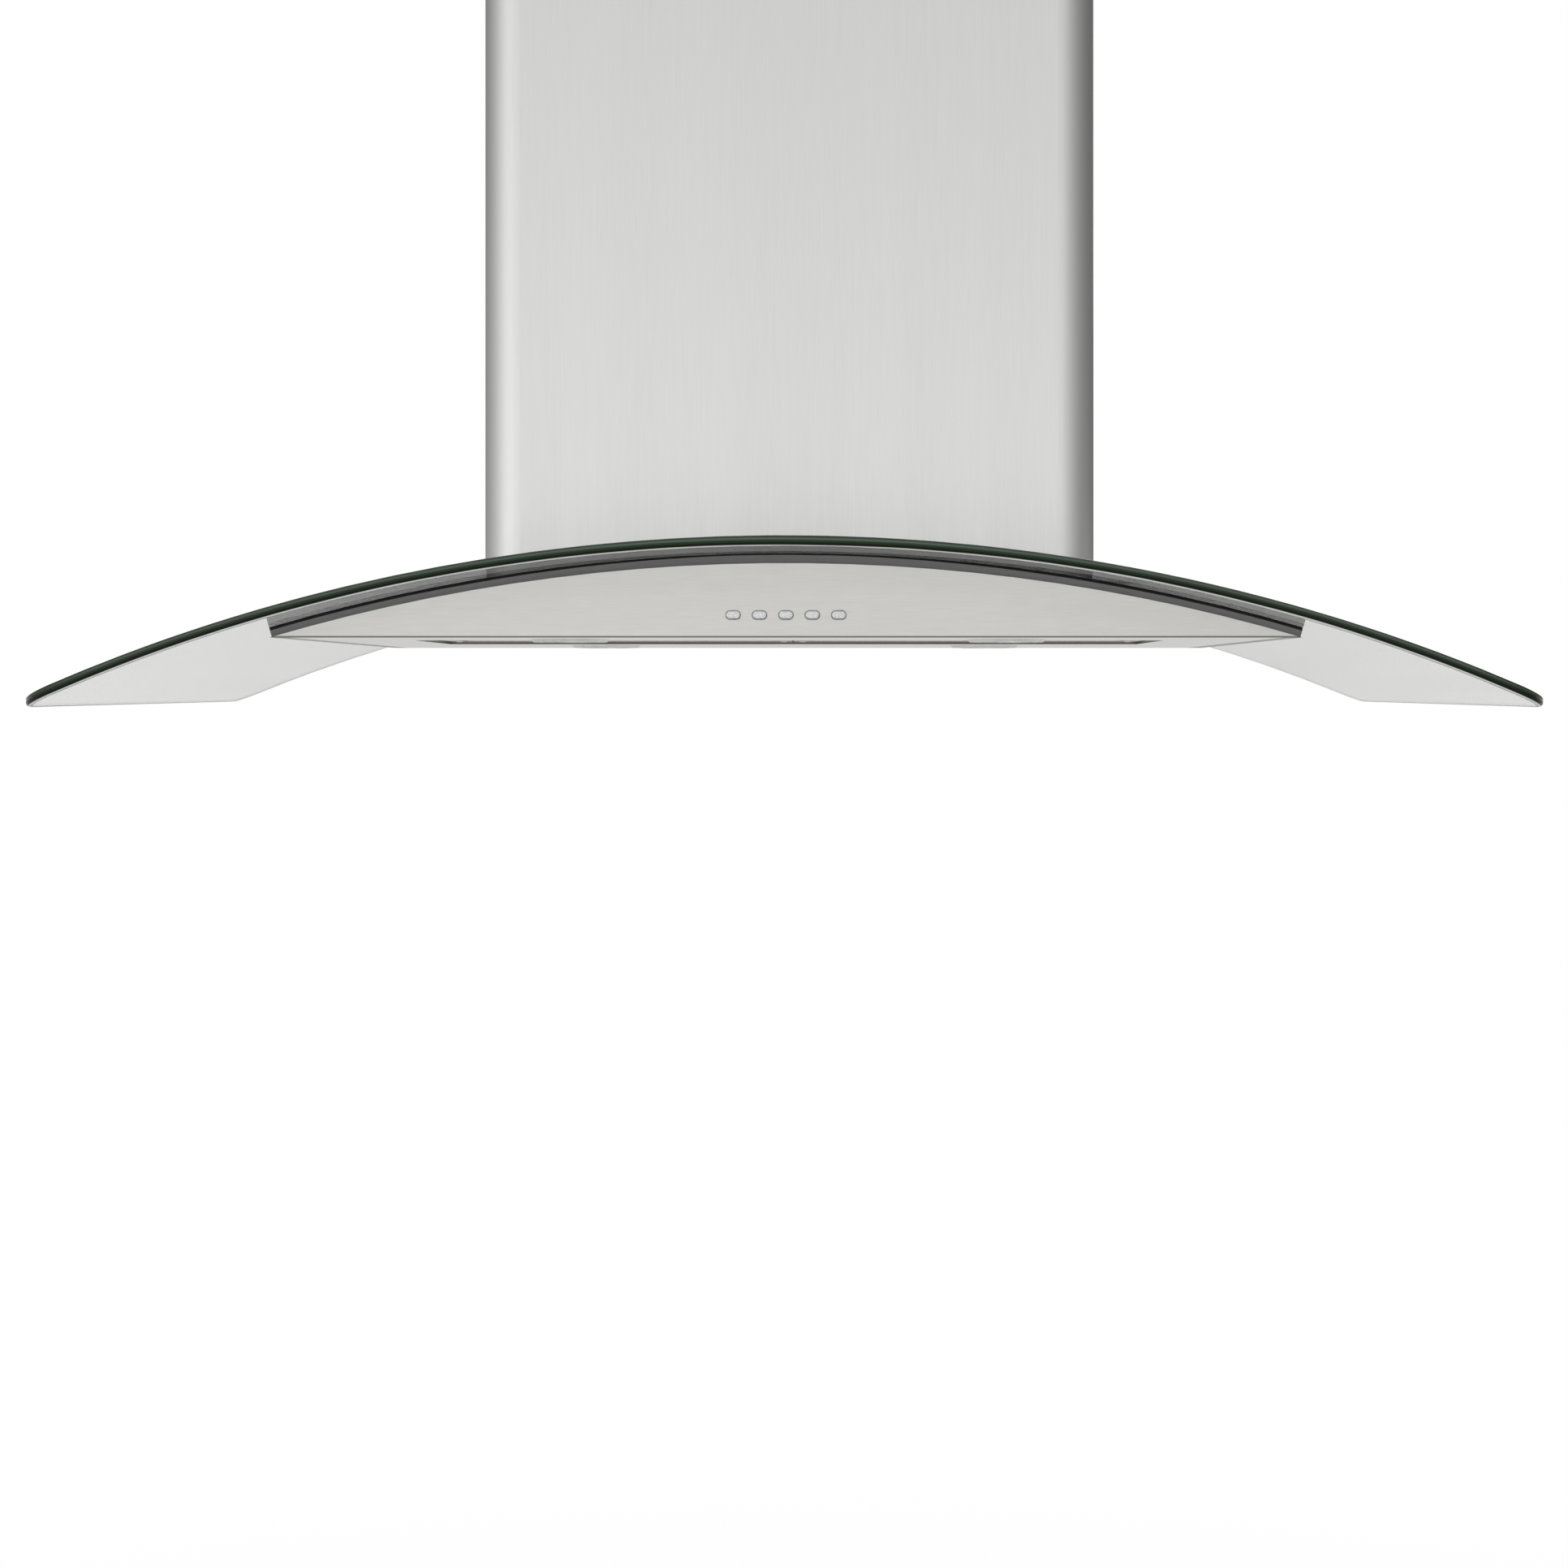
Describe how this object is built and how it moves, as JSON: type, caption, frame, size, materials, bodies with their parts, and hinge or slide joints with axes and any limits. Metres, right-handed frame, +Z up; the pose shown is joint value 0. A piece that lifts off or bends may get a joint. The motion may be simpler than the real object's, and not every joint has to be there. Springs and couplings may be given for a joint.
{
  "type": "island range hood",
  "caption": "Ceiling-hung island range hood: arched glass over a steel canopy with push buttons, grease filters, lamps and a fan, under a telescoping chimney.",
  "frame": {"origin": "on the ceiling, at the middle of the ceiling plate's top face", "axes": "+Z up, -Y out of the side with the buttons, +X to the right of someone facing the buttons"},
  "size_m": [0.898, 0.6, 0.9294],
  "materials": {
    "chimney_steel": "stainless steel sheet with a fine upright grain",
    "canopy_steel": "stainless steel sheet with a fine level grain",
    "underside_steel": "stainless steel sheet, satin",
    "canopy_glass": "clear toughened glass with a polished dark green edge",
    "seat_grey": "satin dark grey paint",
    "black_rubber": "soft black rubber",
    "button_chrome": "polished, with a clear gloss",
    "zinc_sheet": "galvanised sheet with a faint spangle",
    "zinc_hardware": "bright zinc plate",
    "bolt_chrome": "polished heads",
    "fan_plastic": "moulded black plastic",
    "collar_plastic": "moulded dark plastic",
    "flap_plastic": "moulded grey plastic",
    "terminal_plastic": "moulded black plastic",
    "gland_plastic": "moulded grey nylon",
    "capacitor_plastic": "white plastic can",
    "motor_steel": "steel cans round a stack of sheets",
    "shaft_steel": "ground steel",
    "filter_aluminium": "rolled bars, lightly brushed",
    "mesh_aluminium": "stacked expanded mesh",
    "latch_plastic": "moulded grey plastic",
    "spring_steel": "thin spring strip",
    "lamp_ring_steel": "turned and polished ring",
    "lamp_glass": "frosted glass",
    "lamp_cup_steel": "pressed bright aluminium"
  },
  "bodies": {
    "ceiling_frame": {"ceiling_plate": "zinc_sheet", "upper_seam_strips": "zinc_sheet", "upper_chimney_screws": "zinc_hardware", "upper_chimney_front": "chimney_steel", "upper_chimney_rear": "chimney_steel", "upper_angle_front_left": "zinc_sheet", "upper_angle_front_right": "zinc_sheet", "upper_angle_rear_left": "zinc_sheet", "upper_angle_rear_right": "zinc_sheet"},
    "hood": {"blower_box": "zinc_sheet", "cable_gland": "gland_plastic", "canopy_shell": "canopy_steel", "canopy_stiffener": "zinc_sheet", "capacitor": "capacitor_plastic", "chimney_bracket_left": "zinc_sheet", "chimney_bracket_right": "zinc_sheet", "filter_catches": "spring_steel", "flap_pin": "zinc_hardware", "frame_lock_screws": "zinc_hardware", "glass_bolts": "bolt_chrome", "glass_canopy": "canopy_glass", "glass_gasket": "black_rubber", "glass_seat_frame": "seat_grey", "glass_washers": "black_rubber", "lamp_bezels": "lamp_ring_steel", "lamp_cups": "lamp_cup_steel", "lamp_lenses": "lamp_glass", "lower_angle_front_left": "zinc_sheet", "lower_angle_front_right": "zinc_sheet", "lower_angle_rear_left": "zinc_sheet", "lower_angle_rear_right": "zinc_sheet", "lower_chimney_front": "chimney_steel", "lower_chimney_rear": "chimney_steel", "lower_chimney_screws": "zinc_hardware", "motor": "motor_steel", "motor_bracket": "zinc_sheet", "outlet_collar": "collar_plastic", "scroll_left": "fan_plastic", "scroll_right": "fan_plastic", "switch_block": "fan_plastic", "terminal_box": "terminal_plastic", "terminal_box_cover": "terminal_plastic", "underside_panel": "underside_steel"},
    "fan": {"impeller": "fan_plastic", "motor_shaft": "shaft_steel"},
    "flap_front": {"damper_flap_front": "flap_plastic"},
    "flap_rear": {"damper_flap_rear": "flap_plastic"},
    "filter_left": {"filter_frame_left": "filter_aluminium", "filter_mesh_left": "mesh_aluminium", "latch_spring_left": "spring_steel"},
    "latch_left": {"filter_latch_left": "latch_plastic"},
    "filter_right": {"filter_frame_right": "filter_aluminium", "filter_mesh_right": "mesh_aluminium", "latch_spring_right": "spring_steel"},
    "latch_right": {"filter_latch_right": "latch_plastic"},
    "button_1": {"button_1": "button_chrome"},
    "button_2": {"button_2": "button_chrome"},
    "button_3": {"button_3": "button_chrome"},
    "button_4": {"button_4": "button_chrome"},
    "button_5": {"button_5": "button_chrome"}
  },
  "joints": [
    {"name": "height_adjust", "type": "slide", "parent": "ceiling_frame", "child": "hood", "axis": [0, 0, 1], "range_m": [-0.05, 0.15]},
    {"name": "fan_spin", "type": "hinge", "parent": "hood", "child": "fan", "pos_m": [0, -0.038, -0.73], "axis": [1, 0, 0], "continuous": true},
    {"name": "flap_front_swing", "type": "hinge", "parent": "hood", "child": "flap_front", "pos_m": [0, 0, -0.592], "axis": [-1, 0, 0], "range_deg": [0, 70]},
    {"name": "flap_rear_swing", "type": "hinge", "parent": "hood", "child": "flap_rear", "pos_m": [0, 0, -0.592], "axis": [1, 0, 0], "range_deg": [0, 70]},
    {"name": "filter_left_tilt", "type": "hinge", "parent": "hood", "child": "filter_left", "pos_m": [-0.12065, 0.0345, -0.8857], "axis": [1, 0, 0], "range_deg": [0, 35], "deforming": ["filter_catches"]},
    {"name": "latch_left_slide", "type": "slide", "parent": "filter_left", "child": "latch_left", "axis": [0, 1, 0], "range_m": [0, 0.003], "stiffness_N_per_m": 400, "deforming": ["latch_spring_left"]},
    {"name": "filter_right_tilt", "type": "hinge", "parent": "hood", "child": "filter_right", "pos_m": [0.12065, 0.0345, -0.8857], "axis": [1, 0, 0], "range_deg": [0, 35], "deforming": ["filter_catches"]},
    {"name": "latch_right_slide", "type": "slide", "parent": "filter_right", "child": "latch_right", "axis": [0, 1, 0], "range_m": [0, 0.003], "stiffness_N_per_m": 400, "deforming": ["latch_spring_right"]},
    {"name": "button_1_press", "type": "slide", "parent": "hood", "child": "button_1", "axis": [0, 1, 0], "range_m": [0, 0.002], "stiffness_N_per_m": 300},
    {"name": "button_2_press", "type": "slide", "parent": "hood", "child": "button_2", "axis": [0, 1, 0], "range_m": [0, 0.002], "stiffness_N_per_m": 300},
    {"name": "button_3_press", "type": "slide", "parent": "hood", "child": "button_3", "axis": [0, 1, 0], "range_m": [0, 0.002], "stiffness_N_per_m": 300},
    {"name": "button_4_press", "type": "slide", "parent": "hood", "child": "button_4", "axis": [0, 1, 0], "range_m": [0, 0.002], "stiffness_N_per_m": 300},
    {"name": "button_5_press", "type": "slide", "parent": "hood", "child": "button_5", "axis": [0, 1, 0], "range_m": [0, 0.002], "stiffness_N_per_m": 300}
  ]
}
